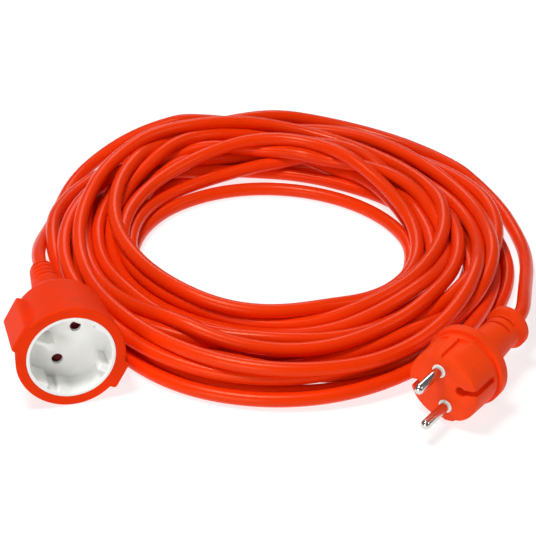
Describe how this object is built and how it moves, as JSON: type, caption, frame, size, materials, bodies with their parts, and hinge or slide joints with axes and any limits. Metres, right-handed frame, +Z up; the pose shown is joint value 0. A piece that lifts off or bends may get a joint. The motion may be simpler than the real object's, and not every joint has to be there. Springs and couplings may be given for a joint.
{
  "type": "extension cord",
  "caption": "Round extension lead in a loose coil, with an unearthed shuttered socket coupler at one end and a moulded round-pin plug at the other.",
  "frame": {"origin": "on the ground, under the middle of the coupler's bounding box", "axes": "+Z up; +Y runs from the coupler's mouth to its cable end, so the mouth looks along -Y and is tipped up 6 degrees; the coil lies towards +X"},
  "size_m": [0.2853, 0.2932, 0.0521],
  "materials": {
    "coupler_pvc": "satin soft PVC",
    "white_insert": "smooth moulded plastic",
    "shutter_plastic": "dark red moulded plastic",
    "spring_steel": "drawn wire",
    "grey_plastic": "moulded plastic",
    "brass": "pressed sheet",
    "copper": "bunched strands",
    "brown_core": "smooth insulation",
    "blue_core": "smooth insulation",
    "cable_pvc": "glossy extruded PVC with faint lengthwise lines",
    "plug_pvc": "fine matt moulded PVC",
    "nickel": "nickel plate"
  },
  "bodies": {
    "root": {"coupler_housing": "coupler_pvc", "socket_insert": "white_insert", "shutter_spring": "spring_steel", "contact_carrier": "grey_plastic", "inner_cap": "grey_plastic", "contact_line": "brass", "contact_neutral": "brass", "coupler_strands_line": "copper", "coupler_strands_neutral": "copper", "coupler_lead_brown": "brown_core", "coupler_lead_blue": "blue_core", "coupler_bend_protector": "coupler_pvc", "coupler_cable_end": "cable_pvc", "cable_coupler_tail": "cable_pvc", "cable_coil": "cable_pvc", "cable_plug_tail": "cable_pvc", "plug_body": "plug_pvc", "plug_pin_bridge": "white_insert", "plug_pin_line": "nickel", "plug_pin_neutral": "nickel", "plug_strands_line": "copper", "plug_strands_neutral": "copper", "plug_lead_brown": "brown_core", "plug_lead_blue": "blue_core", "plug_cable_end": "cable_pvc"},
    "shutter": {"shutter": "shutter_plastic"}
  },
  "joints": [
    {"name": "shutter_turn", "type": "hinge", "parent": "root", "child": "shutter", "pos_m": [0, -0.025, 0.02425], "axis": [0, -0.9945, 0.1045], "range_deg": [0, 40], "stiffness_Nm_per_rad": 0.004, "springref_deg": -22.92}
  ]
}
